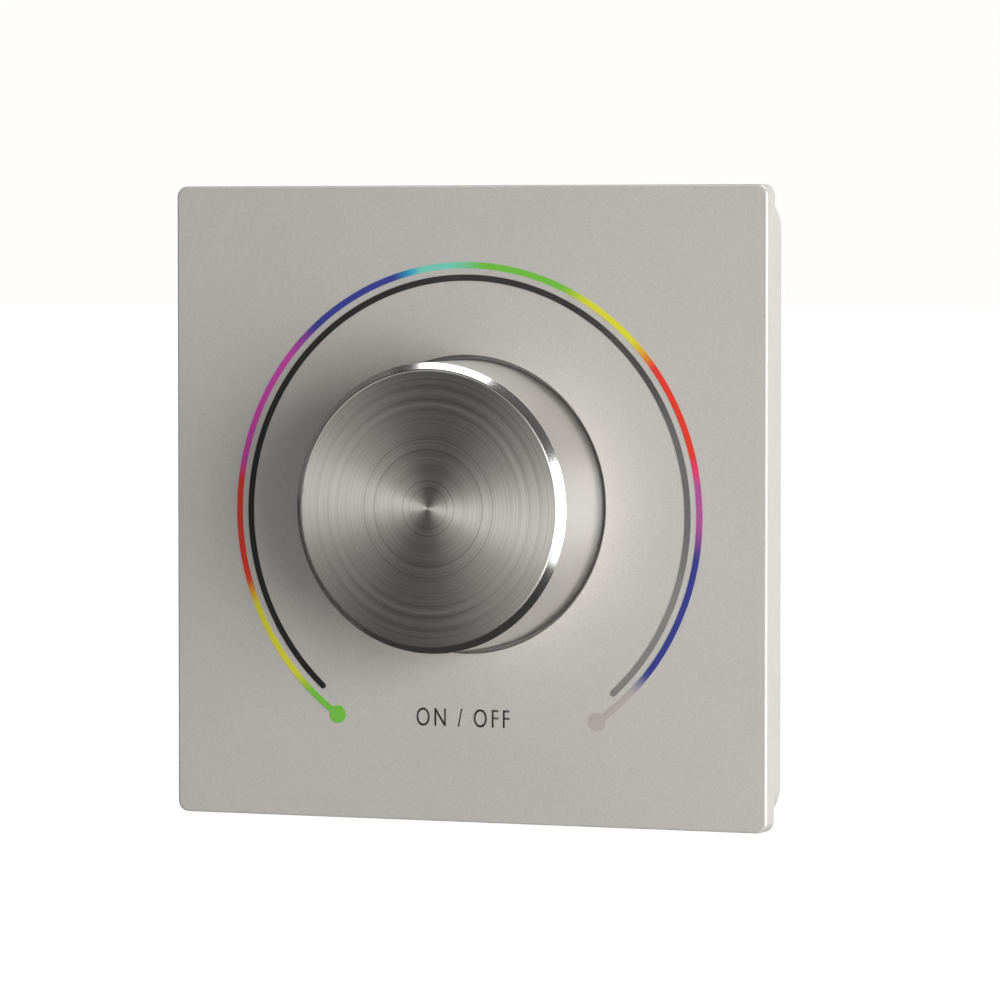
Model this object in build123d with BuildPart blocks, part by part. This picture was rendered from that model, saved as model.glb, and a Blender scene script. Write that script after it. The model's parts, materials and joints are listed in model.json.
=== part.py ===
from build123d import *

import os

# Rotary control panel for a square wall box. A knob that turns and pushes stands out of a moulded front plate
# with two printed scales. The plate snaps on a rear frame, and a control module sits behind the frame.
# Origin: on the wall face at the middle of the panel. +X is right, +Z is up and the front faces -Y.
# Heights are measured from the wall face: positive is in front of the wall, negative is inside the wall box.

os.makedirs("parts", exist_ok=True)

# Front plate
plate_size = 86.0
plate_corner = 1.5
plate_side = 2.9
plate_wall = 2.0
plate_edge = 0.4
skirt_wall = 1.6
skirt_corner = 0.5
collar_wall = 1.3
hole_edge = 0.05
plate_rib_width = 1.0
plate_rib_height = 0.7
plate_rib_count = 8

# Snap hooks that hold the plate on the frame
hook_spacing = 52.0
hook_width = 6.0
hook_thickness = 1.2
hook_barb = 0.8
hook_inset = 5.0
hook_tip = 0.9
hook_play = 0.1
window_gap = 0.2
window_flex = 0.9

# Rear frame
frame_inset = 0.05
frame_depth = 2.8
frame_corner = 6.0
frame_rim = 1.8
frame_web = 1.5
frame_edge = 0.1
well_depth = 5.3
well_wall = 1.5
well_floor = 2.0
lip_width = 1.2
lip_height = 0.7
frame_rib_width = 1.2
frame_rib_spacing = 26.0
seat_recess = 0.2

# Slots for the wall box screws
box_screw_spacing = 60.0
box_slot_width = 4.4
box_slot_length = 6.4
box_screw_head = 8.4
slot_floor = 1.0
slot_pad_wall = 1.2

# Knob
knob_diameter = 39.0
knob_gap = 0.68
knob_rise = 13.35
knob_chamfer = 1.0
knob_travel = 0.5
knob_foot_gap = 0.7
cap_face = 1.8
cap_wall = 1.4
core_disc = 1.6
core_ring_wall = 1.4
core_ring_inset = 1.6
core_rib_width = 1.2
core_rib_height = 7.0
core_rib_count = 6
hub_radius = 5.0

# Printed scales on the plate
print_thickness = 0.06
print_drop = 1.25
colour_inset = 9.5
colour_width = 0.84
scale_pitch = 1.68
dim_width = 0.84
end_dot_radius = 1.2

# Encoder
encoder_size = 11.7
cover_thickness = 0.8
cover_leg_thickness = 0.6
cover_leg_width = 5.0
cover_leg_length = 5.0
cover_lug_width = 2.0
base_depth = 5.7
base_floor = 0.5
bush_diameter = 7.0
bush_length = 5.0
bush_hole_gap = 0.1
nut_across_flats = 10.0
nut_thickness = 2.0
washer_radius = 6.0
washer_thickness = 0.5
washer_notch_count = 10
washer_notch = 0.8
shaft_diameter = 6.0
shaft_length = 15.0
shaft_end_chamfer = 0.5
flat_depth = 1.5
flat_length = 8.0
shaft_collar_radius = 3.3
shaft_collar_thickness = 0.5
drive_radius = 2.2
drive_flat = 1.6
rotor_radius = 4.7
rotor_thickness = 1.8
rotor_hub_radius = 2.9
rotor_hub_length = 1.0
rotor_recess = 0.5
detent_count = 20
detent_width = 0.6
detent_depth = 0.35
spring_room = 0.7
spring_thickness = 0.2
spring_ring_width = 0.9
bump_width = 0.36
bump_length = 0.6
bump_reach = 0.2
wiper_room = 0.3
wiper_thickness = 0.12
wiper_length = 1.4
wiper_width = 0.6
wiper_step = 35.0
plunger_thickness = 0.8
dome_rise = 0.7
dome_thickness = 0.12
dome_top_radius = 1.1
dome_foot = 0.3
pin_width = 0.8
pin_thickness = 0.3
pin_pitch = 2.5
pin_inset = 0.9
pin_socket = 0.4
solder_length = 1.4

# Control module
housing_depth = 23.0
housing_wall = 1.6
housing_corner = 4.0
housing_edge = 0.8
board_thickness = 1.6
board_gap = 0.6
board_rest_width = 1.4
board_rest_depth = 2.0
board_rest_spacing = 18.0
boss_radius = 3.0
boss_length = 4.3
pilot_radius = 1.1
column_wall = 1.2
vent_count = 6
vent_pitch = 4.2
vent_length = 16.0
vent_width = 1.6
vent_rise = 5.0

# Housing screws
screw_shank_radius = 1.05
screw_length = 6.6
screw_head_radius = 2.2
screw_head_height = 1.5
screw_seat = 3.0
screw_recess_width = 0.7
screw_recess_depth = 0.8

# Terminal block
terminal_count = 6
terminal_pitch = 5.08
terminal_end = 0.3
terminal_depth = 8.4
terminal_height = 10.0
terminal_shoulder = 1.6
terminal_gap = 0.5
terminal_edge = 1.5
wire_entry_width = 3.2
wire_entry_height = 3.8
wire_entry_depth = 6.0
wire_entry_lift = 1.2
clamp_wall = 0.5
clamp_length = 4.4
clamp_play = 0.1
terminal_screw_radius = 1.6
terminal_screw_gap = 0.1
terminal_screw_sink = 0.7
screw_slot_width = 0.6
screw_slot_depth = 0.7
screw_slot_turn = 30.0

# Parts on the board
transistor_size = 6.6
transistor_height = 2.3
transistor_tab = 1.2
transistor_tab_thickness = 0.5
transistor_drop = 2.4
chip_size = 7.0
chip_height = 1.4
chip_edge = 0.3
chip_lead_count = 8
chip_lead_pitch = 0.8
chip_lead_length = 1.0
chip_lead_width = 0.35
chip_lead_height = 0.5
upper_edge = 5.8
inductor_size = 7.0
inductor_height = 4.0
inductor_corner = 1.5
capacitor_radius = 4.0
capacitor_gap = 1.2
capacitor_edge = 0.4
capacitor_groove = 0.35
capacitor_groove_width = 0.7
capacitor_groove_lift = 0.8
side_edge = 6.3

# Clearances
fit_gap = 0.02
running_gap = 0.05
plunger_gap = 0.08
loose_gap = 0.3
thread_gap = 0.05
touch_gap = 0.05

# Heights of the main faces
plate_back = frame_depth
plate_front = plate_back + plate_side
plate_under = plate_front - plate_wall
web_back = frame_depth - frame_web
floor_front = plate_front - well_depth
floor_back = floor_front - well_floor
knob_foot = floor_front + knob_travel + knob_foot_gap
knob_face = plate_front + knob_rise
cap_under = knob_face - cap_face
collar_end = floor_front + loose_gap

# Radii round the knob axis
knob_radius = knob_diameter / 2
hole_radius = knob_radius + knob_gap
collar_radius = hole_radius + collar_wall
well_radius = collar_radius + loose_gap
well_outer = well_radius + well_wall
cap_bore = knob_radius - cap_wall
core_radius = cap_bore - running_gap

# Half sizes of the square outlines
skirt_half = plate_size / 2 - skirt_wall
frame_half = plate_size / 2 - frame_inset
lip_half = skirt_half - window_gap
hook_face = skirt_half - hook_inset + hook_thickness
housing_inner = well_outer + loose_gap
housing_half = housing_inner + housing_wall
inner_corner = housing_corner - housing_wall
seat_half = housing_half + loose_gap
board_half = housing_inner - board_gap
boss_place = housing_inner - boss_radius - touch_gap
column_radius = screw_head_radius + loose_gap + column_wall
terminal_half = terminal_count * terminal_pitch / 2 + terminal_end
terminal_drop = board_half - terminal_edge - terminal_depth
bay_half = terminal_half + terminal_gap
upper_row = board_half - upper_edge - chip_size / 2
side_column = board_half - side_edge - inductor_size / 2

# Radii of the printed arcs
colour_radius = plate_size / 2 - colour_inset
dim_radius = colour_radius - scale_pitch

# Heights inside the encoder and the module
bush_radius = bush_diameter / 2
shaft_radius = shaft_diameter / 2
bush_front = floor_back + bush_length
base_front = floor_back - cover_thickness
board_front = base_front - base_depth
board_back = board_front - board_thickness
rotor_front = base_front - spring_room
rotor_back = rotor_front - rotor_thickness
cavity_floor = rotor_back - wiper_room
cavity_radius = rotor_radius + loose_gap
guide_radius = rotor_hub_radius + running_gap
guide_floor = board_front + base_floor
rotor_foot = rotor_back - rotor_hub_length
plunger_front = rotor_foot - touch_gap - touch_gap
plunger_back = plunger_front - plunger_thickness
shaft_end = floor_back + shaft_length
flat_start = shaft_end - flat_length
shaft_foot = plunger_front + touch_gap
collar_front = base_front - touch_gap
collar_back = collar_front - shaft_collar_thickness
boss_end = web_back - boss_length
screw_seat_height = boss_end - screw_seat
lead_end = board_back - solder_length
block_back = board_back - terminal_height


def level(height):
    # A plane parallel to the wall: sketch x is +X, sketch y is +Z, and it extrudes towards the front
    return Plane.XZ.offset(height)


# Sketch x is the radius from the knob axis and sketch y the height in front of the wall
turned = Plane(origin=(0, 0, 0), x_dir=(1, 0, 0), z_dir=(0, 0, -1))

# Sketch x is +Z and sketch y the height in front of the wall, and it extrudes towards +X
sideways = Plane(origin=(0, 0, 0), x_dir=(0, 0, 1), z_dir=(1, 0, 0))


# Front plate: a shallow tray with a collar round the knob hole, ribs and four snap hooks
with BuildPart() as front_plate:
    with BuildSketch(level(plate_back)):
        RectangleRounded(plate_size, plate_size, plate_corner)
    extrude(amount=plate_side)
    fillet(front_plate.faces().sort_by(Axis.Y)[0].edges(), plate_edge)
    with BuildSketch(level(plate_back)):
        RectangleRounded(2 * skirt_half, 2 * skirt_half, skirt_corner)
    extrude(amount=plate_under - plate_back, mode=Mode.SUBTRACT)
    with BuildSketch(level(collar_end)):
        Circle(collar_radius)
    extrude(amount=plate_under - collar_end)
    rib_start = (hole_radius + collar_radius) / 2
    rib_end = lip_half - 2 * lip_width
    with BuildSketch(level(plate_under - plate_rib_height)):
        with PolarLocations((rib_start + rib_end) / 2, plate_rib_count, start_angle=180 / plate_rib_count):
            Rectangle(rib_end - rib_start, plate_rib_width)
    extrude(amount=plate_rib_height)
    with BuildSketch(level(collar_end)):
        Circle(hole_radius)
    extrude(amount=plate_front - collar_end, mode=Mode.SUBTRACT)
    front_circles = front_plate.edges().filter_by(GeomType.CIRCLE).group_by(Axis.Y)[0]
    chamfer(front_circles.sort_by(SortBy.RADIUS)[-1], hole_edge)
    catch = web_back - hook_play
    for hook_x in (-hook_spacing / 2, hook_spacing / 2):
        with BuildSketch(sideways.offset(hook_x - hook_width / 2)):
            with BuildLine():
                Polyline(
                    (hook_face - hook_thickness, plate_under),
                    (hook_face, plate_under),
                    (hook_face, catch),
                    (hook_face + hook_barb, catch),
                    (hook_face, catch - hook_tip),
                    (hook_face - hook_thickness, catch - hook_tip),
                    close=True,
                )
            make_face()
            mirror(about=Plane.YZ)
        extrude(amount=hook_width)
front_plate.part.label = "front_plate"
export_step(front_plate.part, "parts/front_plate.step")


# Rear frame: rim and web against the wall, the round knob well, and the seat for the control module
with BuildPart() as rear_frame:
    with BuildSketch(level(0)):
        RectangleRounded(2 * frame_half, 2 * frame_half, frame_corner)
    extrude(amount=frame_depth)
    chamfer(rear_frame.faces().sort_by(Axis.Y)[-1].edges(), frame_edge)
    hollow_half = frame_half - frame_rim
    with BuildSketch(level(0)):
        RectangleRounded(2 * hollow_half, 2 * hollow_half, frame_corner - frame_rim)
    extrude(amount=web_back, mode=Mode.SUBTRACT)
    with BuildSketch(level(frame_depth)):
        RectangleRounded(2 * lip_half, 2 * lip_half, frame_corner - frame_rim)
        offset(amount=-lip_width, mode=Mode.SUBTRACT)
    extrude(amount=lip_height)
    # Stiffening ribs between the seat and the rim
    rib_length = hollow_half - housing_half
    rib_place = hollow_half - rib_length / 2
    with BuildSketch(level(0)):
        with GridLocations(2 * rib_place, frame_rib_spacing, 2, 2):
            Rectangle(rib_length, frame_rib_width)
        with GridLocations(frame_rib_spacing, 2 * rib_place, 2, 2):
            Rectangle(frame_rib_width, rib_length)
    extrude(amount=web_back)
    # Pads, head pockets and slots for the box screws
    pocket_length = box_screw_head + box_slot_length - box_slot_width
    pad_out = (box_screw_spacing + pocket_length) / 2 + slot_pad_wall
    pad_in = housing_half + loose_gap / 2
    pad_height = box_screw_head + 2 * slot_pad_wall
    with BuildSketch(level(0)):
        with GridLocations(pad_in + pad_out, 0, 2, 1):
            Rectangle(pad_out - pad_in, pad_height)
    extrude(amount=web_back)
    with BuildSketch(level(seat_recess)):
        RectangleRounded(2 * seat_half, 2 * seat_half, housing_corner)
        RectangleRounded(2 * housing_inner, 2 * housing_inner, inner_corner, mode=Mode.SUBTRACT)
    extrude(amount=web_back - seat_recess)
    with BuildSketch(level(slot_floor)):
        with GridLocations(box_screw_spacing, 0, 2, 1):
            SlotOverall(pocket_length, box_screw_head)
    extrude(amount=frame_depth - slot_floor, mode=Mode.SUBTRACT)
    with BuildSketch(level(0)):
        with GridLocations(box_screw_spacing, 0, 2, 1):
            SlotOverall(box_slot_length, box_slot_width)
    extrude(amount=slot_floor, mode=Mode.SUBTRACT)
    # Knob well with the hole for the encoder bush
    with BuildSketch(level(floor_back)):
        Circle(well_outer)
    extrude(amount=frame_depth - floor_back)
    with BuildSketch(level(floor_front)):
        Circle(well_radius)
    extrude(amount=frame_depth - floor_front, mode=Mode.SUBTRACT)
    with BuildSketch(level(floor_back)):
        Circle(bush_radius + bush_hole_gap)
    extrude(amount=well_floor, mode=Mode.SUBTRACT)
    # Bosses for the housing screws
    with BuildSketch(level(boss_end)):
        with GridLocations(2 * boss_place, 2 * boss_place, 2, 2):
            Circle(boss_radius)
    extrude(amount=boss_length)
    with BuildSketch(level(boss_end)):
        with GridLocations(2 * boss_place, 2 * boss_place, 2, 2):
            Circle(pilot_radius)
    extrude(amount=boss_length, mode=Mode.SUBTRACT)
    # Windows for the plate's hooks
    window_out = hook_face + window_gap
    window_in = hook_face - hook_thickness - window_flex
    with BuildSketch(level(web_back)):
        with GridLocations(hook_spacing, window_in + window_out, 2, 2):
            Rectangle(hook_width + 2 * loose_gap, window_out - window_in)
    extrude(amount=frame_web, mode=Mode.SUBTRACT)
rear_frame.part.label = "rear_frame"
export_step(rear_frame.part, "parts/rear_frame.step")


# Printed scales: thin films on the plate, each an arc band of one colour about a centre below the knob axis
def arc_band(radius, width, start, end):
    with BuildLine() as band:
        outer = CenterArc((0, -print_drop), radius + width / 2, start, end - start)
        inner = CenterArc((0, -print_drop), radius - width / 2, start, end - start)
        Line(outer @ 0, inner @ 0)
        Line(outer @ 1, inner @ 1)
    make_face(band.edges())


def end_dot(radius, angle, dot_radius):
    with Locations((0, -print_drop)):
        with PolarLocations(radius, 1, start_angle=angle):
            Circle(dot_radius)


# Each field runs between two angles, counted anticlockwise from +X
colour_ends = (235.6, -55.5)
colour_fields = {
    "green": [(225.0, 235.6), (62.5, 90.0)],
    "yellow": [(199.5, 225.0), (40.0, 62.5)],
    "red": [(171.0, 199.5), (10.0, 40.0)],
    "magenta": [(136.0, 171.0), (-6.0, 10.0)],
    "blue": [(106.0, 136.0), (-41.0, -6.0)],
    "cyan": [(90.0, 106.0)],
    "white": [(-55.5, -41.0)],
}
for colour, fields in colour_fields.items():
    with BuildPart() as colour_print:
        with BuildSketch(level(plate_front)):
            for start, end in fields:
                arc_band(colour_radius, colour_width, start, end)
                for dot_angle in colour_ends:
                    if dot_angle in (start, end):
                        end_dot(colour_radius, dot_angle, end_dot_radius)
        extrude(amount=print_thickness)
    colour_print.part.label = f"print_{colour}"
    export_step(colour_print.part, f"parts/print_{colour}.step")

dim_ends = (228.4, -48.1)
dim_fields = {
    "black": (102.0, 228.4),
    "charcoal": (54.0, 102.0),
    "slate": (26.0, 54.0),
    "grey": (-9.0, 26.0),
    "pale_grey": (-48.1, -9.0),
}
for tone, (start, end) in dim_fields.items():
    with BuildPart() as dim_print:
        with BuildSketch(level(plate_front)):
            arc_band(dim_radius, dim_width, start, end)
            for dot_angle in dim_ends:
                if dot_angle in (start, end):
                    end_dot(dim_radius, dot_angle, dim_width / 2)
        extrude(amount=print_thickness)
    dim_print.part.label = f"print_{tone}"
    export_step(dim_print.part, f"parts/print_{tone}.step")


# Knob cap: a turned cup with a flat face and a chamfered edge
with BuildPart() as knob_cap:
    with BuildSketch(turned):
        with BuildLine():
            Polyline(
                (0, knob_face),
                (knob_radius - knob_chamfer, knob_face),
                (knob_radius, knob_face - knob_chamfer),
                (knob_radius, knob_foot),
                (cap_bore, knob_foot),
                (cap_bore, cap_under),
                (0, cap_under),
                close=True,
            )
        make_face()
    revolve(axis=Axis.Y)
knob_cap.part.label = "knob_cap"
export_step(knob_cap.part, "parts/knob_cap.step")


def d_outline(radius, flat):
    # A circle with one flat, this far above its centre
    Circle(radius)
    with Locations((0, flat + radius)):
        Rectangle(2 * radius, 2 * radius, mode=Mode.SUBTRACT)


# Knob core: disc, outer ring and ribbed hub, with a bore that takes the shaft and its flat
core_foot = bush_front + knob_travel + loose_gap
core_ring_foot = knob_foot + core_ring_inset
disc_back = cap_under - core_disc
with BuildPart() as knob_core:
    with BuildSketch(level(disc_back)):
        Circle(core_radius)
    extrude(amount=core_disc)
    with BuildSketch(level(core_ring_foot)):
        Circle(core_radius)
        Circle(core_radius - core_ring_wall, mode=Mode.SUBTRACT)
    extrude(amount=disc_back - core_ring_foot)
    with BuildSketch(level(core_foot)):
        Circle(hub_radius)
    extrude(amount=disc_back - core_foot)
    rib_in = hub_radius - core_rib_width / 2
    rib_out = core_radius - core_ring_wall / 2
    with BuildSketch(level(disc_back - core_rib_height)):
        with PolarLocations((rib_in + rib_out) / 2, core_rib_count):
            Rectangle(rib_out - rib_in, core_rib_width)
    extrude(amount=core_rib_height)
    with BuildSketch(level(core_foot)):
        Circle(shaft_radius + fit_gap)
    extrude(amount=flat_start + touch_gap - core_foot, mode=Mode.SUBTRACT)
    with BuildSketch(level(flat_start + touch_gap)):
        d_outline(shaft_radius + fit_gap, shaft_radius - flat_depth + fit_gap)
    extrude(amount=shaft_end + touch_gap - flat_start, mode=Mode.SUBTRACT)
knob_core.part.label = "knob_core"
export_step(knob_core.part, "parts/knob_core.step")


# Encoder shaft: round in the bush, flat in the knob, with a retaining collar and a two-flat drive end
with BuildPart() as encoder_shaft:
    with BuildSketch(level(collar_front)):
        Circle(shaft_radius)
    extrude(amount=shaft_end - collar_front)
    chamfer(encoder_shaft.faces().sort_by(Axis.Y)[0].edges(), shaft_end_chamfer)
    with BuildSketch(level(flat_start)):
        with Locations((0, 2 * shaft_radius - flat_depth)):
            Rectangle(2 * shaft_radius, 2 * shaft_radius)
    extrude(amount=flat_length, mode=Mode.SUBTRACT)
    with BuildSketch(level(collar_back)):
        Circle(shaft_collar_radius)
    extrude(amount=shaft_collar_thickness)
    with BuildSketch(level(shaft_foot)):
        Circle(drive_radius)
        Rectangle(2 * drive_radius, 2 * drive_flat, mode=Mode.INTERSECT)
    extrude(amount=collar_back - shaft_foot)
encoder_shaft.part.label = "encoder_shaft"
export_step(encoder_shaft.part, "parts/encoder_shaft.step")


# Encoder bush, its nut and its toothed washer
with BuildPart() as encoder_bush:
    with BuildSketch(level(base_front)):
        Circle(bush_radius)
        Circle(shaft_radius + running_gap, mode=Mode.SUBTRACT)
    extrude(amount=bush_front - base_front)
encoder_bush.part.label = "encoder_bush"
export_step(encoder_bush.part, "parts/encoder_bush.step")

with BuildPart() as lock_washer:
    with BuildSketch(level(floor_front)):
        Circle(washer_radius)
        Circle(bush_radius + bush_hole_gap, mode=Mode.SUBTRACT)
        with PolarLocations(bush_radius + bush_hole_gap, washer_notch_count):
            Rectangle(2 * washer_notch, washer_notch, mode=Mode.SUBTRACT)
    extrude(amount=washer_thickness)
lock_washer.part.label = "lock_washer"
export_step(lock_washer.part, "parts/lock_washer.step")

nut_back = floor_front + washer_thickness
with BuildPart() as bush_nut:
    with BuildSketch(level(nut_back)):
        RegularPolygon(nut_across_flats / 2, 6, major_radius=False)
        Circle(bush_radius + thread_gap, mode=Mode.SUBTRACT)
    extrude(amount=nut_thickness)
bush_nut.part.label = "bush_nut"
export_step(bush_nut.part, "parts/bush_nut.step")


# Encoder cover: a folded steel plate whose two legs end in lugs through the board
leg_start = encoder_size / 2 + touch_gap
leg_end = leg_start + cover_leg_thickness
leg_place = leg_start + leg_end
with BuildPart() as encoder_cover:
    with BuildSketch(level(base_front)):
        Rectangle(encoder_size, encoder_size)
        Rectangle(2 * leg_end, cover_leg_width)
        Circle(bush_radius + fit_gap, mode=Mode.SUBTRACT)
    extrude(amount=cover_thickness)
    with BuildSketch(level(base_front - cover_leg_length)):
        with GridLocations(leg_place, 0, 2, 1):
            Rectangle(cover_leg_thickness, cover_leg_width)
    extrude(amount=cover_leg_length)
    with BuildSketch(level(lead_end)):
        with GridLocations(leg_place, 0, 2, 1):
            Rectangle(cover_leg_thickness, cover_lug_width)
    extrude(amount=base_front - cover_leg_length - lead_end)
encoder_cover.part.label = "encoder_cover"
export_step(encoder_cover.part, "parts/encoder_cover.step")


# Encoder base: cavity for the rotor, guide for its hub and the plunger, and sockets for the pins
pin_row = encoder_size - 2 * pin_inset
with BuildPart() as encoder_base:
    with BuildSketch(level(board_front)):
        Rectangle(encoder_size, encoder_size)
    extrude(amount=base_depth)
    with BuildSketch(level(cavity_floor)):
        Circle(cavity_radius)
    extrude(amount=base_front - cavity_floor, mode=Mode.SUBTRACT)
    with BuildSketch(level(guide_floor)):
        Circle(guide_radius)
    extrude(amount=cavity_floor - guide_floor, mode=Mode.SUBTRACT)
    with BuildSketch(level(board_front)):
        with Locations((0, -pin_row / 2)):
            with GridLocations(pin_pitch, 0, 3, 1):
                Rectangle(pin_width + 2 * touch_gap, pin_thickness + 2 * touch_gap)
        with Locations((0, pin_row / 2)):
            with GridLocations(2 * pin_pitch, 0, 2, 1):
                Rectangle(pin_width + 2 * touch_gap, pin_thickness + 2 * touch_gap)
    extrude(amount=pin_socket, mode=Mode.SUBTRACT)
encoder_base.part.label = "encoder_base"
export_step(encoder_base.part, "parts/encoder_base.step")


# Encoder rotor: notched disc with a hub that runs in the base and slides on the shaft's drive end
notch_in = shaft_collar_radius + loose_gap - bump_width / 2
with BuildPart() as encoder_rotor:
    with BuildSketch(level(rotor_back)):
        Circle(rotor_radius)
    extrude(amount=rotor_thickness)
    with BuildSketch(level(rotor_foot)):
        Circle(rotor_hub_radius)
    extrude(amount=rotor_hub_length)
    with BuildSketch(level(rotor_front - rotor_recess)):
        Circle(notch_in)
    extrude(amount=rotor_recess, mode=Mode.SUBTRACT)
    with BuildSketch(level(rotor_front - detent_depth)):
        with PolarLocations((notch_in + rotor_radius) / 2, detent_count):
            Rectangle(2 * (rotor_radius - notch_in), detent_width)
    extrude(amount=detent_depth, mode=Mode.SUBTRACT)
    with BuildSketch(level(rotor_foot)):
        Circle(drive_radius + running_gap)
        Rectangle(2 * (drive_radius + running_gap), 2 * (drive_flat + running_gap), mode=Mode.INTERSECT)
    extrude(amount=rotor_front - rotor_foot, mode=Mode.SUBTRACT)
encoder_rotor.part.label = "encoder_rotor"
export_step(encoder_rotor.part, "parts/encoder_rotor.step")


# Detent spring: a thin ring on the cover with two bumps that drop into the rotor's notches
ring_out = cavity_radius - touch_gap
ring_in = ring_out - spring_ring_width
bump_end = rotor_front - bump_reach
with BuildPart() as detent_spring:
    with BuildSketch(level(base_front - spring_thickness)):
        Circle(ring_out)
        Circle(ring_in, mode=Mode.SUBTRACT)
    extrude(amount=spring_thickness)
    with BuildSketch(level(bump_end)):
        with PolarLocations((ring_in + rotor_radius) / 2, 2):
            SlotOverall(bump_length, bump_width)
    extrude(amount=base_front - spring_thickness - bump_end)
detent_spring.part.label = "detent_spring"
export_step(detent_spring.part, "parts/detent_spring.step")


# Contact springs on the cavity floor, under the rotor's code face
wiper_radius = (guide_radius + rotor_radius) / 2
with BuildPart() as contact_springs:
    with BuildSketch(level(cavity_floor)):
        with PolarLocations(wiper_radius, 3, 270 - wiper_step, 2 * wiper_step, endpoint=True):
            Rectangle(wiper_length, wiper_width)
    extrude(amount=wiper_thickness)
contact_springs.part.label = "contact_springs"
export_step(contact_springs.part, "parts/contact_springs.step")


# Push switch: a plunger under the shaft and the snap dome below it
with BuildPart() as switch_plunger:
    with BuildSketch(level(plunger_back)):
        Circle(guide_radius - plunger_gap)
    extrude(amount=plunger_thickness)
switch_plunger.part.label = "switch_plunger"
export_step(switch_plunger.part, "parts/switch_plunger.step")

dome_radius = guide_radius - loose_gap
with BuildPart() as switch_dome:
    with BuildSketch(turned):
        with BuildLine():
            Polyline(
                (0, guide_floor + dome_rise),
                (dome_top_radius, guide_floor + dome_rise),
                (dome_radius, guide_floor + dome_thickness),
                (dome_radius, guide_floor),
                (dome_radius - dome_foot, guide_floor),
                (dome_top_radius, guide_floor + dome_rise - dome_thickness),
                (0, guide_floor + dome_rise - dome_thickness),
                close=True,
            )
        make_face()
    revolve(axis=Axis.Y)
switch_dome.part.label = "switch_dome"
export_step(switch_dome.part, "parts/switch_dome.step")


# Encoder pins: three for the code and two for the switch, from the base through the board
with BuildPart() as encoder_pins:
    with BuildSketch(level(lead_end)):
        with Locations((0, -pin_row / 2)):
            with GridLocations(pin_pitch, 0, 3, 1):
                Rectangle(pin_width, pin_thickness)
        with Locations((0, pin_row / 2)):
            with GridLocations(2 * pin_pitch, 0, 2, 1):
                Rectangle(pin_width, pin_thickness)
    extrude(amount=board_front + pin_socket - lead_end)
encoder_pins.part.label = "encoder_pins"
export_step(encoder_pins.part, "parts/encoder_pins.step")


# Main board: square with notched corners, slots for the encoder's pins and lugs and for the terminals
corner_notch = board_half - (boss_place - column_radius - loose_gap)
notch_place = 2 * board_half - corner_notch
terminal_row = -(terminal_drop + terminal_depth / 2)
with BuildPart() as main_board:
    with BuildSketch(level(board_back)):
        Rectangle(2 * board_half, 2 * board_half)
        with GridLocations(notch_place, notch_place, 2, 2):
            Rectangle(corner_notch, corner_notch, mode=Mode.SUBTRACT)
        with Locations((0, -pin_row / 2)):
            with GridLocations(pin_pitch, 0, 3, 1):
                Rectangle(pin_width + loose_gap, pin_thickness + loose_gap, mode=Mode.SUBTRACT)
        with Locations((0, pin_row / 2)):
            with GridLocations(2 * pin_pitch, 0, 2, 1):
                Rectangle(pin_width + loose_gap, pin_thickness + loose_gap, mode=Mode.SUBTRACT)
        with GridLocations(leg_place, 0, 2, 1):
            Rectangle(cover_leg_thickness + loose_gap, cover_lug_width + loose_gap, mode=Mode.SUBTRACT)
        with Locations((0, terminal_row)):
            with GridLocations(terminal_pitch, 0, terminal_count, 1):
                Rectangle(pin_width + loose_gap, pin_width + loose_gap, mode=Mode.SUBTRACT)
    extrude(amount=board_thickness)
main_board.part.label = "main_board"
export_step(main_board.part, "parts/main_board.step")


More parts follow.
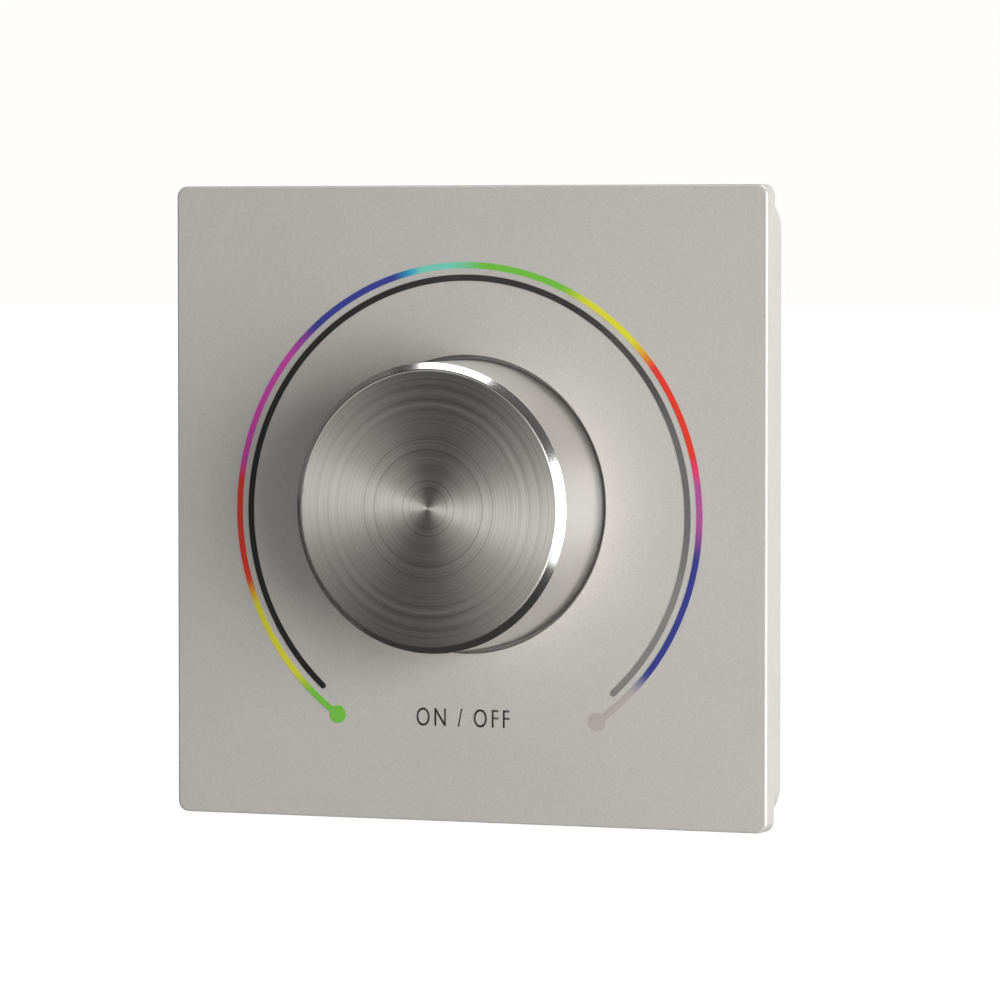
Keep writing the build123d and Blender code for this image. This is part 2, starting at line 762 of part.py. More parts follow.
# Rear housing: a moulded cup with screw columns, board rests, vents and an open bay for the terminals
bay_top = -(terminal_drop - terminal_gap)
bay_front = board_back - touch_gap
housing_back = -housing_depth
with BuildPart() as rear_housing:
    with BuildSketch(level(housing_back)):
        RectangleRounded(2 * housing_half, 2 * housing_half, housing_corner)
    extrude(amount=seat_recess - housing_back)
    chamfer(rear_housing.faces().sort_by(Axis.Y)[-1].edges(), housing_edge)
    with BuildSketch(level(housing_back + housing_wall)):
        RectangleRounded(2 * housing_inner, 2 * housing_inner, inner_corner)
    extrude(amount=seat_recess - housing_back - housing_wall, mode=Mode.SUBTRACT)
    # Walls round the terminal bay
    bay_wall_top = bay_top + housing_wall
    with BuildSketch(level(housing_back + housing_wall)):
        with Locations((0, (bay_wall_top - housing_inner) / 2)):
            Rectangle(2 * (bay_half + housing_wall), bay_wall_top + housing_inner)
    extrude(amount=bay_front - housing_back - housing_wall)
    # Columns for the screws, one at each corner
    with BuildSketch(level(housing_back + housing_wall)):
        with GridLocations(2 * boss_place, 2 * boss_place, 2, 2):
            Circle(column_radius)
        RectangleRounded(2 * housing_inner, 2 * housing_inner, inner_corner, mode=Mode.INTERSECT)
    extrude(amount=boss_end - housing_back - housing_wall)
    # Rests that carry the board
    rest_place = 2 * housing_inner - board_rest_depth
    with BuildSketch(level(housing_back + housing_wall)):
        with GridLocations(rest_place, board_rest_spacing, 2, 2):
            Rectangle(board_rest_depth, board_rest_width)
    extrude(amount=board_back - housing_back - housing_wall)
    # The open bay, the screw pockets and holes, and the vents
    with BuildSketch(level(housing_back)):
        with Locations((0, (bay_top - housing_half) / 2)):
            Rectangle(2 * bay_half, bay_top + housing_half)
    extrude(amount=board_back - housing_back, mode=Mode.SUBTRACT)
    with BuildSketch(level(housing_back)):
        with GridLocations(2 * boss_place, 2 * boss_place, 2, 2):
            Circle(screw_head_radius + loose_gap)
    extrude(amount=screw_seat_height - housing_back, mode=Mode.SUBTRACT)
    with BuildSketch(level(screw_seat_height)):
        with GridLocations(2 * boss_place, 2 * boss_place, 2, 2):
            Circle(screw_shank_radius + loose_gap)
    extrude(amount=screw_seat, mode=Mode.SUBTRACT)
    with BuildSketch(level(housing_back)):
        with Locations((0, vent_rise)):
            with GridLocations(vent_pitch, 0, vent_count, 1):
                SlotOverall(vent_length, vent_width, rotation=90)
    extrude(amount=housing_wall, mode=Mode.SUBTRACT)
rear_housing.part.label = "rear_housing"
export_step(rear_housing.part, "parts/rear_housing.step")


# Housing screws: round heads with a cross recess, driven from the back into the frame's bosses
with BuildPart() as housing_screws:
    with BuildSketch(level(screw_seat_height - screw_head_height)):
        with GridLocations(2 * boss_place, 2 * boss_place, 2, 2):
            Circle(screw_head_radius)
    extrude(amount=screw_head_height)
    with BuildSketch(level(screw_seat_height)):
        with GridLocations(2 * boss_place, 2 * boss_place, 2, 2):
            Circle(screw_shank_radius)
    extrude(amount=screw_length)
    with BuildSketch(level(screw_seat_height - screw_head_height)):
        with GridLocations(2 * boss_place, 2 * boss_place, 2, 2):
            Rectangle(screw_head_radius, screw_recess_width)
            Rectangle(screw_recess_width, screw_head_radius)
    extrude(amount=screw_recess_depth, mode=Mode.SUBTRACT)
housing_screws.part.label = "housing_screws"
export_step(housing_screws.part, "parts/housing_screws.step")


# Terminal block on the board: stepped body, wire entries below and screw holes at the back
block_top = -terminal_drop
block_bottom = block_top - terminal_depth
entry_front = board_back - wire_entry_lift
entry_back = entry_front - wire_entry_height
entry_end = block_bottom + wire_entry_depth
screw_row = (block_bottom + entry_end) / 2
screw_hole_radius = terminal_screw_radius + terminal_screw_gap
with BuildPart() as terminal_block:
    with BuildSketch(sideways.offset(-terminal_half)):
        with BuildLine():
            Polyline(
                (block_top, board_back),
                (block_bottom, board_back),
                (block_bottom, block_back + terminal_shoulder),
                (block_bottom + terminal_shoulder, block_back),
                (block_top, block_back),
                close=True,
            )
        make_face()
    extrude(amount=2 * terminal_half)
    with BuildSketch(level(entry_back)):
        with Locations((0, screw_row)):
            with GridLocations(terminal_pitch, 0, terminal_count, 1):
                Rectangle(wire_entry_width, wire_entry_depth)
    extrude(amount=wire_entry_height, mode=Mode.SUBTRACT)
    with BuildSketch(level(block_back)):
        with Locations((0, screw_row)):
            with GridLocations(terminal_pitch, 0, terminal_count, 1):
                Circle(screw_hole_radius)
    extrude(amount=entry_back - block_back, mode=Mode.SUBTRACT)
terminal_block.part.label = "terminal_block"
export_step(terminal_block.part, "parts/terminal_block.step")


# Wire clamps: square tubes inside the wire entries
clamp_width = wire_entry_width - 2 * clamp_play
clamp_height = wire_entry_height - 2 * clamp_play
clamp_back = entry_back + clamp_play
with BuildPart() as terminal_clamps:
    with BuildSketch(level(clamp_back)):
        with Locations((0, screw_row)):
            with GridLocations(terminal_pitch, 0, terminal_count, 1):
                Rectangle(clamp_width, clamp_length)
    extrude(amount=clamp_height)
    with BuildSketch(level(clamp_back + clamp_wall)):
        with Locations((0, screw_row)):
            with GridLocations(terminal_pitch, 0, terminal_count, 1):
                Rectangle(clamp_width - 2 * clamp_wall, clamp_length)
    extrude(amount=clamp_height - 2 * clamp_wall, mode=Mode.SUBTRACT)
terminal_clamps.part.label = "terminal_clamps"
export_step(terminal_clamps.part, "parts/terminal_clamps.step")


# Terminal screws: slotted, each with its tip on the back of its clamp
screw_top = block_back + terminal_screw_sink
with BuildPart() as terminal_screws:
    with BuildSketch(level(screw_top)):
        with Locations((0, screw_row)):
            with GridLocations(terminal_pitch, 0, terminal_count, 1):
                Circle(terminal_screw_radius)
    extrude(amount=clamp_back - screw_top)
    with BuildSketch(level(screw_top)):
        with Locations((0, screw_row)):
            with GridLocations(terminal_pitch, 0, terminal_count, 1):
                Rectangle(2 * terminal_screw_radius, screw_slot_width, rotation=screw_slot_turn)
    extrude(amount=screw_slot_depth, mode=Mode.SUBTRACT)
terminal_screws.part.label = "terminal_screws"
export_step(terminal_screws.part, "parts/terminal_screws.step")


# Terminal pins: from the foot of the block through the board
with BuildPart() as terminal_pins:
    with BuildSketch(level(board_back)):
        with Locations((0, terminal_row)):
            with GridLocations(terminal_pitch, 0, terminal_count, 1):
                Rectangle(pin_width, pin_width)
    extrude(amount=board_thickness + solder_length)
terminal_pins.part.label = "terminal_pins"
export_step(terminal_pins.part, "parts/terminal_pins.step")


# Output transistors: flat power packages with a metal tab, two on each side between the encoder and the edge
transistor_gap = (board_half - leg_end - 2 * transistor_size) / 3
transistor_pitch = transistor_size + transistor_gap
transistor_inner = leg_end + transistor_gap + transistor_size / 2
transistor_places = []
for side in (-1, 1):
    for place in range(2):
        transistor_places.append((side * (transistor_inner + place * transistor_pitch), -transistor_drop))
with BuildPart() as output_transistors:
    with BuildSketch(level(board_back - transistor_height)):
        with Locations(transistor_places):
            Rectangle(transistor_size, transistor_size)
    extrude(amount=transistor_height)
    with BuildSketch(level(board_back - transistor_tab_thickness)):
        with Locations(transistor_places):
            Rectangle(transistor_size - transistor_tab, transistor_size + 2 * transistor_tab)
    extrude(amount=transistor_tab_thickness)
output_transistors.part.label = "output_transistors"
export_step(output_transistors.part, "parts/output_transistors.step")


# Controller chip: a square package with leads on its four sides
lead_row = chip_size + chip_lead_length
with BuildPart() as controller_chip:
    with BuildSketch(level(board_back - chip_height)):
        with Locations((0, upper_row)):
            Rectangle(chip_size, chip_size)
    extrude(amount=chip_height)
    chamfer(controller_chip.faces().sort_by(Axis.Y)[-1].edges(), chip_edge)
    with BuildSketch(level(board_back - chip_lead_height)):
        with Locations((0, upper_row)):
            with GridLocations(chip_lead_pitch, lead_row, chip_lead_count, 2):
                Rectangle(chip_lead_width, chip_lead_length)
            with GridLocations(lead_row, chip_lead_pitch, 2, chip_lead_count):
                Rectangle(chip_lead_length, chip_lead_width)
    extrude(amount=chip_lead_height)
controller_chip.part.label = "controller_chip"
export_step(controller_chip.part, "parts/controller_chip.step")


# Power inductor and smoothing capacitor
with BuildPart() as power_inductor:
    with BuildSketch(level(board_back - inductor_height)):
        with Locations((side_column, upper_row)):
            RectangleRounded(inductor_size, inductor_size, inductor_corner)
    extrude(amount=inductor_height)
power_inductor.part.label = "power_inductor"
export_step(power_inductor.part, "parts/power_inductor.step")

capacitor_back = housing_back + housing_wall + capacitor_gap
with BuildPart() as smoothing_capacitor:
    with BuildSketch(level(capacitor_back)):
        with Locations((-side_column, upper_row)):
            Circle(capacitor_radius)
    extrude(amount=board_back - capacitor_back)
    chamfer(smoothing_capacitor.faces().sort_by(Axis.Y)[-1].edges(), capacitor_edge)
    with BuildSketch(level(board_back - capacitor_groove_lift - capacitor_groove_width)):
        with Locations((-side_column, upper_row)):
            Circle(capacitor_radius)
            Circle(capacitor_radius - capacitor_groove, mode=Mode.SUBTRACT)
    extrude(amount=capacitor_groove_width, mode=Mode.SUBTRACT)
smoothing_capacitor.part.label = "smoothing_capacitor"
export_step(smoothing_capacitor.part, "parts/smoothing_capacitor.step")
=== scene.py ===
import bpy
import json
import math
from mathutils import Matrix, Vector


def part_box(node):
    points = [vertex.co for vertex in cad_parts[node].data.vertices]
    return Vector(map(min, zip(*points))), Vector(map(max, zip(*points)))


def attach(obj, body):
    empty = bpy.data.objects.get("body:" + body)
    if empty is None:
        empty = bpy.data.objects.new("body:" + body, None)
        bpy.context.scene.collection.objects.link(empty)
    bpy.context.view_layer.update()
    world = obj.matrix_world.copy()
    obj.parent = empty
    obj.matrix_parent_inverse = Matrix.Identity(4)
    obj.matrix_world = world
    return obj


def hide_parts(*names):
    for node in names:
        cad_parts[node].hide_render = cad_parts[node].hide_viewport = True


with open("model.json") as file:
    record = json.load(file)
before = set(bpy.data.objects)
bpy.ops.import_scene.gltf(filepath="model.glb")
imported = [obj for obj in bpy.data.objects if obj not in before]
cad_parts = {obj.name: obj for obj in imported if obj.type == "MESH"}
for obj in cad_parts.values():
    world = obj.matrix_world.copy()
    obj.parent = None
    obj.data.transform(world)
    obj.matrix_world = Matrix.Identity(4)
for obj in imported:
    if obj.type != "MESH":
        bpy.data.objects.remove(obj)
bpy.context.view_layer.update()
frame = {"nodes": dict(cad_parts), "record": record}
nodes = frame["nodes"]
print("frame loaded with", len(nodes), "nodes")

mm = 0.001  # lengths below are in millimetres times this
tiny = 0.01 * mm  # closer than this is the same place
knobGap = 0.68 * mm  # between knob and plate, all round
plateLow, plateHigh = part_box("front_plate")
knobLow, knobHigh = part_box("knob_cap")
plateFront = plateLow.y  # front faces look towards -Y
knobFront = knobLow.y
knobRadius = knobHigh.x
holeRadius = knobRadius + knobGap
facing = 0.99  # share of a normal along an axis that counts as facing it
facingFront = (math.radians(90), 0, 0)  # turns a primitive that looks up towards the front


# shader maths: wires add, multiply and so on like numbers
class Wire:
    def __init__(self, tree, socket=None):
        self.tree = tree
        self.socket = socket

    # one node: its settings are set first, then values or wires go into its sockets
    def node(self, kind, settings=None, inputs=None, out=0):
        made = self.tree.nodes.new(kind)
        for name, value in (settings or {}).items():
            if name == "stops":
                setStops(made.color_ramp, value)
            else:
                setattr(made, name, value)
        for key, value in (inputs or {}).items():
            self.feed(made.inputs[key], value)
        return Wire(self.tree, made.outputs[out])

    def feed(self, socket, value):
        if isinstance(value, Wire):
            self.tree.links.new(value.socket, socket)
        else:
            socket.default_value = value

    def maths(self, operation, other=0.0):
        return self.node("ShaderNodeMath", {"operation": operation}, {0: self, 1: other})

    def mathsFrom(self, operation, first):
        return self.node("ShaderNodeMath", {"operation": operation}, {0: first, 1: self})

    def __add__(self, other):
        return self.maths("ADD", other)

    def __radd__(self, other):
        return self.mathsFrom("ADD", other)

    def __sub__(self, other):
        return self.maths("SUBTRACT", other)

    def __rsub__(self, other):
        return self.mathsFrom("SUBTRACT", other)

    def __mul__(self, other):
        return self.maths("MULTIPLY", other)

    def __rmul__(self, other):
        return self.mathsFrom("MULTIPLY", other)

    def __truediv__(self, other):
        return self.maths("DIVIDE", other)

    def __rtruediv__(self, other):
        return self.mathsFrom("DIVIDE", other)

    def __pow__(self, other):
        return self.maths("POWER", other)

    def split(self):
        parts = self.node("ShaderNodeSeparateXYZ", None, {0: self}).socket.node
        return [Wire(self.tree, out) for out in parts.outputs]

    def noise(self, size, detail=2.0, rough=0.5):
        # soft random value, about 0.5, with lumps of this size in metres
        return self.node("ShaderNodeTexNoise", None,
                         {"Vector": self, "Scale": 1 / size, "Detail": detail, "Roughness": rough})

    def noiseAlong(self, size, detail=2.0, rough=0.5):
        # the same along one number
        return self.node("ShaderNodeTexNoise", {"noise_dimensions": "1D"},
                         {"W": self, "Scale": 1 / size, "Detail": detail, "Roughness": rough})

    def between(self, low, high, outLow=0.0, outHigh=1.0):
        return self.node("ShaderNodeMapRange", {"interpolation_type": "SMOOTHSTEP"},
                         {"Value": self, "From Min": low, "From Max": high,
                          "To Min": outLow, "To Max": outHigh})

    def full(self):
        # noise stretched so that it runs from 0 to 1
        return self.between(0.3, 0.7)

    def off(self, amount):
        # noise as a small change to either side of nothing
        return (self - 0.5) * amount

    def tint(self, first, second):
        # this wire picks between two colours
        return self.node("ShaderNodeMix", {"data_type": "RGBA"}, {0: self, 6: first, 7: second}, 2)

    def times(self, other):
        # this colour multiplied by a colour or a level
        return self.node("ShaderNodeMix", {"data_type": "RGBA", "blend_type": "MULTIPLY"},
                         {0: 1.0, 6: self, 7: other}, 2)

    def bump(self, depth):
        return self.node("ShaderNodeBump", None, {"Height": self, "Distance": depth})


def setStops(ramp, stops):
    while len(ramp.elements) < len(stops):
        ramp.elements.new(0.5)
    for element, (place, colour) in zip(ramp.elements, stops):
        element.position = place
        element.color = colour


def newFinish(name, **fixed):
    material = bpy.data.materials.new(name)
    material.use_nodes = True
    shader = material.node_tree.nodes["Principled BSDF"]
    for socket, value in fixed.items():
        shader.inputs[socket.replace("_", " ")].default_value = value
    place = Wire(material.node_tree).node("ShaderNodeTexCoord", out="Object")
    return material, shader, place


def paintOn(shader, colour, roughness, normal=None):
    colour.feed(shader.inputs["Base Color"], colour)
    colour.feed(shader.inputs["Roughness"], roughness)
    if normal:
        colour.feed(shader.inputs["Normal"], normal)


def grey(level, warm=0.0):
    return (level * (1 + warm), level, level * (1 - warm), 1.0)


def shade(colour, amount):
    # a colour made lighter or darker, and solid
    return [min(1.0, part * amount) for part in colour[:3]] + [1]


# finishes of the plate
platePaint = {
    "light": (0.606, 0.582, 0.548, 1), "dark": (0.522, 0.500, 0.471, 1), "roughness": 0.42, "gloss": 0.42,
    "cloud": 9 * mm, "speck": 0.32 * mm, "grain": 0.14 * mm, "depth": 0.012 * mm,
}


def paintFinish():
    look = platePaint
    material, shader, place = newFinish("platePaint", Specular_IOR_Level=look["gloss"])
    cloud = place.noise(look["cloud"], 3)
    speck = place.noise(look["speck"], 2)
    grain = place.noise(look["grain"], 1)
    mask = (0.10 * cloud + 0.30 * speck + 0.60 * grain).full()
    paintOn(shader, mask.tint(look["dark"], look["light"]), look["roughness"] + speck.off(0.12),
            (0.6 * speck + 0.4 * grain).bump(look["depth"]))
    return material


plateRimHighlight = {
    "light": (0.66, 0.637, 0.605, 1), "dark": (0.60, 0.578, 0.545, 1), "roughness": 0.09, "gloss": 0.8,
    "metal": 0.10, "speck": 0.3 * mm, "depth": 0.002 * mm,
    # what counts as rim: share of the plate's half width, and the normal's part along the axis
    "reach": 0.8, "steep": -0.3, "flat": -0.86,
}


def rimHighlightFinish():
    # the plate's rounded rim: glossier than the face, and painted a little lighter as a painted highlight
    # line
    look = plateRimHighlight
    material, shader, place = newFinish("plateRimHighlight", Metallic=look["metal"], Specular_IOR_Level=look["gloss"])
    speck = place.noise(look["speck"], 2)
    paintOn(shader, speck.tint(look["dark"], look["light"]), look["roughness"] + 0.06 * speck,
            speck.bump(look["depth"]))
    return material


# finishes of the knob
def mixLobes(material, shader, place, colour, rough, lobes):
    # one metal shader for each lean of the surface, mixed by its share
    total = 0.0
    mixed = None
    for share, lean in lobes:
        code = place.node("ShaderNodeCombineXYZ", None, {i: 0.5 + 0.5 * part for i, part in enumerate(lean)})
        normal = place.node("ShaderNodeNormalMap", {"space": "OBJECT"}, {"Color": code})
        lobe = place.node("ShaderNodeBsdfPrincipled", None,
                          {"Base Color": colour, "Metallic": 1.0, "Roughness": rough, "Normal": normal})
        total += share
        mixed = lobe if mixed is None else place.node("ShaderNodeMixShader", None,
                                                      {0: share / total, 1: mixed, 2: lobe})
    material.node_tree.nodes.remove(shader)
    place.feed(material.node_tree.nodes["Material Output"].inputs["Surface"], mixed)


def turnedLobes(x, z, leans, sway=0.0):
    # leans in degrees from the front, outwards all round the axis, with a sway along it
    out = 1 / ((x * x + z * z) ** 0.5)
    lobes = []
    for degrees, share in leans:
        angle = math.radians(degrees)
        flat = out * math.sin(angle)
        lobes.append((share, (x * flat, sway - math.cos(angle), z * flat)))
    return lobes


spunMetal = {
    "colour": (0.576, 0.561, 0.533), "roughness": 0.36,
    "leans": [(0, 1.0), (-13.5, 0.92), (13.5, 0.92), (-26, 0.72), (26, 0.72)],  # degrees, share
    "fine": 0.16 * mm, "broad": 0.8 * mm, "broadShift": 3.0 * mm, "middle": 0.02 * mm,
    # painted shade over the turned grooves: darkening for each unit of depth, and its limit
    "ringLean": 0.05, "ringTone": 0.145, "grooveShadeTone": 12.0, "darkestGrooveShade": 0.45,
}


def spunFinish():
    # turned face: fine ridges lean the metal inwards and outwards but never sideways,
    # so it is one shader for each lean, mixed, with slow and fine rings over all of them, and painted shade
    # over the turned grooves
    look = spunMetal
    material, shader, place = newFinish("spunFace")
    x, y, z = place.split()
    radius = (x * x + z * z) ** 0.5
    out = 1 / radius.maths("MAXIMUM", look["middle"])
    fine = radius.noiseAlong(look["fine"], 2, 0.6)
    broad = (radius - look["broadShift"]).noiseAlong(look["broad"], 3, 0.6)
    ring = (0.7 * fine + 0.3 * broad).full()
    colour = ring.tint(shade(look["colour"], 1 - look["ringTone"]),
                       shade(look["colour"], 1 + look["ringTone"]))
    # painted shade: the colour is darkened over each turned groove, more for deeper grooves, standing in for
    # the shade down in it
    for grooveAt, width, depth in capSettings["grooves"]:
        away = (radius - grooveAt * mm).maths("ABSOLUTE")
        paintedGrooveShade = min(look["darkestGrooveShade"], look["grooveShadeTone"] * depth)
        colour = colour.times(away.between(0.2 * width * mm, 0.75 * width * mm, 1 - paintedGrooveShade, 1.0))
    rough = look["roughness"] + broad.off(0.12)
    sway = fine.off(look["ringLean"]) + broad.off(look["ringLean"])
    lobes = []
    for degrees, share in look["leans"]:
        lean = sway + math.tan(math.radians(degrees))
        lobes.append((share, (x * out * lean, -1.0, z * out * lean)))
    mixLobes(material, shader, place, colour, rough, lobes)
    return material


sideMetal = {
    "light": (0.745, 0.734, 0.718, 1), "dark": (0.685, 0.675, 0.660, 1), "roughness": 0.34, "sway": 0.16,
    "speck": 0.30 * mm, "lines": 0.10 * mm, "leans": [(90, 1.0), (68, 0.11), (46, 0.055)],
}


def sideFinish():
    # turned and lightly blasted side: its lines lean the metal along the axis only
    look = sideMetal
    material, shader, place = newFinish("turnedSide")
    x, y, z = place.split()
    speck = place.noise(look["speck"], 2)
    lines = y.noiseAlong(look["lines"], 2, 0.6)
    colour = (0.6 * speck + 0.4 * lines).full().tint(look["dark"], look["light"])
    rough = look["roughness"] + speck.off(0.12)
    sway = (0.5 * speck + 0.5 * lines).off(look["sway"])
    mixLobes(material, shader, place, colour, rough, turnedLobes(x, z, look["leans"], sway))
    return material


cutMetal = {
    "light": (0.74, 0.73, 0.705, 1), "dark": (0.64, 0.63, 0.605, 1), "roughness": 0.15, "sway": 0.14,
    "lines": 0.34 * mm, "leans": [(45, 1.0), (43, 0.5), (41, 0.3)],
}


def cutFinish():
    # diamond-cut chamfer: bright, with turning lines that lean the metal a little along the axis
    look = cutMetal
    material, shader, place = newFinish("cutChamfer")
    x, y, z = place.split()
    lines = y.noiseAlong(look["lines"], 1, 0.5)
    colour = lines.tint(look["dark"], look["light"])
    rough = look["roughness"] + 0.05 * lines
    sway = lines.off(look["sway"])
    mixLobes(material, shader, place, colour, rough, turnedLobes(x, z, look["leans"], sway))
    return material


lipMetal = {
    "light": (0.93, 0.915, 0.885, 1), "dark": (0.84, 0.825, 0.79, 1), "roughness": 0.30,
    "lines": 0.3 * mm, "leans": [(35, 0.78), (-16, 0.22)],
}


def lipFinish():
    # the fine broken edge round the face falls away outwards, and a little inwards
    look = lipMetal
    material, shader, place = newFinish("faceEdge")
    x, y, z = place.split()
    lines = place.noise(look["lines"], 2)
    colour = lines.tint(look["dark"], look["light"])
    rough = look["roughness"] + 0.1 * lines
    mixLobes(material, shader, place, colour, rough, turnedLobes(x, z, look["leans"]))
    return material


grooveShadeMetal = {
    "light": (0.15, 0.147, 0.14, 1), "dark": (0.09, 0.088, 0.084, 1), "roughness": 0.5, "speck": 0.15 * mm,
}


def grooveShadeFinish():
    # painted shade: the bottom of the groove that parts the face from the chamfer gets a nearly black metal,
    # standing in for the shade down in it
    look = grooveShadeMetal
    material, shader, place = newFinish("edgeGrooveShade", Metallic=1.0)
    speck = place.noise(look["speck"], 2)
    paintOn(shader, speck.tint(look["dark"], look["light"]), look["roughness"] + 0.15 * speck)
    return material


blastMetal = {
    "light": (0.76, 0.74, 0.71, 1), "dark": (0.68, 0.662, 0.635, 1), "roughness": 0.46, "metal": 0.5,
    "speck": 0.30 * mm, "grain": 0.12 * mm, "depth": 0.02 * mm,
}


def blastFinish():
    # bead-blasted inside and foot
    look = blastMetal
    material, shader, place = newFinish("blastedInside", Metallic=look["metal"])
    speck = place.noise(look["speck"], 2)
    grain = place.noise(look["grain"], 1)
    paintOn(shader, speck.full().tint(look["dark"], look["light"]), look["roughness"] + speck.off(0.12),
            (0.6 * speck + 0.4 * grain).bump(look["depth"]))
    return material


# finishes of mouldings, plated metal and the board
mouldedCloud = 7 * mm


def mouldedFinish(name, colour, roughness, grainSize=0.25, depth=0.02, spread=0.06):
    material, shader, place = newFinish(name)
    cloud = place.noise(mouldedCloud, 3)
    grain = place.noise(grainSize * mm, 2)
    mask = (0.5 * cloud + 0.5 * grain).full()
    paintOn(shader, mask.tint(shade(colour, 1 - spread), shade(colour, 1 + spread)),
            roughness + cloud.off(0.15) + grain.off(0.1), grain.bump(depth * mm))
    return material


platedLook = {"cloud": 2.5 * mm, "scuff": 0.2 * mm, "depth": 0.004 * mm, "light": 1.08, "dark": 0.85}


def platedFinish(name, colour, roughness):
    # plated or rolled metal with fine scuffs
    look = platedLook
    material, shader, place = newFinish(name, Metallic=1.0)
    cloud = place.noise(look["cloud"], 3)
    scuff = place.noise(look["scuff"], 4, 0.7)
    mask = (0.6 * cloud + 0.4 * scuff).full()
    paintOn(shader, mask.tint(shade(colour, look["dark"]), shade(colour, look["light"])),
            roughness + cloud.off(0.2) + scuff.off(0.15), scuff.bump(look["depth"]))
    return material


boardLook = {
    "light": (0.030, 0.20, 0.075, 1), "dark": (0.010, 0.085, 0.035, 1), "roughness": 0.28,
    "weave": 0.4 * mm, "lane": 8 * mm, "cloud": 4 * mm, "depth": 0.03 * mm,
}


def boardFinish():
    # green mask over woven laminate, with paler copper tracks under it
    look = boardLook
    material, shader, place = newFinish("boardMask")
    weave = place.node("ShaderNodeTexChecker", None,
                       {"Vector": place, "Scale": 1 / look["weave"],
                        "Color1": grey(1.0), "Color2": grey(0.0)}, 1)
    lanes = place.node("ShaderNodeTexWave", {"bands_direction": "X"},
                       {"Vector": place, "Scale": 1 / look["lane"], "Distortion": 6.0,
                        "Detail": 0.0, "Detail Scale": 0.6})
    track = lanes.between(0.55, 0.62)
    cloud = place.noise(look["cloud"], 2)
    mask = 0.55 * track + 0.25 * weave + 0.2 * cloud
    paintOn(shader, mask.tint(look["dark"], look["light"]), look["roughness"] + 0.12 * cloud,
            (0.8 * track + 0.2 * weave).bump(look["depth"]))
    return material


# printed inks: angles run anticlockwise from +X about the scales' own centre
scaleCentre = -1.25 * mm
inks = {
    "green": (0.189, 0.600, 0.057, 1), "yellow": (0.807, 0.758, 0.039, 1), "red": (0.840, 0.044, 0.021, 1),
    "magenta": (0.477, 0.092, 0.342, 1), "purple": (0.695, 0.068, 0.470, 1), "blue": (0.038, 0.049, 0.285, 1),
    "indigo": (0.045, 0.060, 0.345, 1), "sky": (0.030, 0.420, 0.660, 1), "cyan": (0.204, 0.711, 0.571, 1),
    "bare": (0.500, 0.458, 0.437, 1), "rose": (0.850, 0.045, 0.170, 1),
}
# where each colour or tone starts and ends, in degrees
colourRun = [
    ("bare", -60, -44.5), ("blue", -39, -9), ("magenta", -2, 7.5), ("rose", 10, 11), ("red", 14, 36.7),
    ("yellow", 44.5, 58.5), ("green", 65.3, 86), ("cyan", 93.5, 101.5), ("sky", 103.6, 104),
    ("indigo", 108, 131.5), ("purple", 141.5, 168), ("red", 173, 196.5), ("yellow", 202.5, 221.5),
    ("green", 227, 250),
]
dimRun = [
    (0.235, -60, -20), (0.155, -2, 18), (0.078, 34, 46), (0.042, 60, 94), (0.028, 110, 150),
    (0.026, 170, 200), (0.018, 225, 250),
]
inkSettings = {"speck": 0.25 * mm, "depth": 0.008 * mm, "roughness": 0.40, "worn": 0.93}


def rampPlace(degrees):
    # the ramp starts straight down
    return (degrees + 90) / 360


def runStops(run, colourOf):
    stops = []
    for colour, start, end in run:
        stops += [(rampPlace(start), colourOf(colour)), (rampPlace(end), colourOf(colour))]
    return stops


def scaleFinish(name, stops):
    look = inkSettings
    material, shader, place = newFinish(name)
    x, y, z = place.split()
    turn = (0 - x).maths("ARCTAN2", z - scaleCentre)
    along = (turn + math.pi) / (2 * math.pi)
    colour = place.node("ShaderNodeValToRGB", {"stops": stops}, {"Fac": along})
    speck = place.noise(look["speck"], 2)
    paintOn(shader, colour.times(speck.full().tint(grey(look["worn"]), grey(1.0))),
            look["roughness"] + speck.off(0.12), speck.bump(look["depth"]))
    return material


legendInk = {"light": grey(0.022, 0.02), "dark": grey(0.012, 0.02), "roughness": 0.38, "speck": 0.2 * mm}


def legendFinish():
    look = legendInk
    material, shader, place = newFinish("legendInk")
    speck = place.noise(look["speck"], 2)
    paintOn(shader, speck.tint(look["dark"], look["light"]), look["roughness"] + 0.15 * speck)
    return material


# handling of pieces
def leaveEdit():
    active = bpy.context.view_layer.objects.active
    if active and active.mode != "OBJECT":
        bpy.ops.object.mode_set(mode="OBJECT")


def deselect():
    leaveEdit()
    bpy.ops.object.select_all(action="DESELECT")


def hold(piece):
    deselect()
    piece.select_set(True)
    bpy.context.view_layer.objects.active = piece


def newest(name):
    piece = bpy.context.object
    piece.name = name
    piece.data.name = name
    bpy.ops.object.transform_apply(location=True, rotation=True, scale=True)
    return piece


def startPick(piece, kind):
    hold(piece)
    bpy.ops.object.mode_set(mode="EDIT")
    bpy.ops.mesh.select_mode(type=kind)
    bpy.ops.mesh.select_all(action="DESELECT")
    bpy.ops.object.mode_set(mode="OBJECT")


def pickFaces(piece, test):
    startPick(piece, "FACE")
    for face in piece.data.polygons:
        face.select = test(face.center, face.normal)
    bpy.ops.object.mode_set(mode="EDIT")


def pickEdges(piece, test):
    startPick(piece, "EDGE")
    points = piece.data.vertices
    for edge in piece.data.edges:
        edge.select = all(test(points[i].co) for i in edge.vertices)
    bpy.ops.object.mode_set(mode="EDIT")


def breakEdges(width, segments):
    bpy.ops.mesh.bevel(offset=width, offset_type="OFFSET", segments=segments, affect="EDGES")


def applied(piece, kind, **settings):
    hold(piece)
    modifier = piece.modifiers.new(kind.lower(), kind)
    for name, value in settings.items():
        setattr(modifier, name, value)
    bpy.ops.object.modifier_apply(modifier=modifier.name)


def smooth(piece, degrees):
    hold(piece)
    bpy.ops.object.shade_smooth_by_angle(angle=math.radians(degrees))


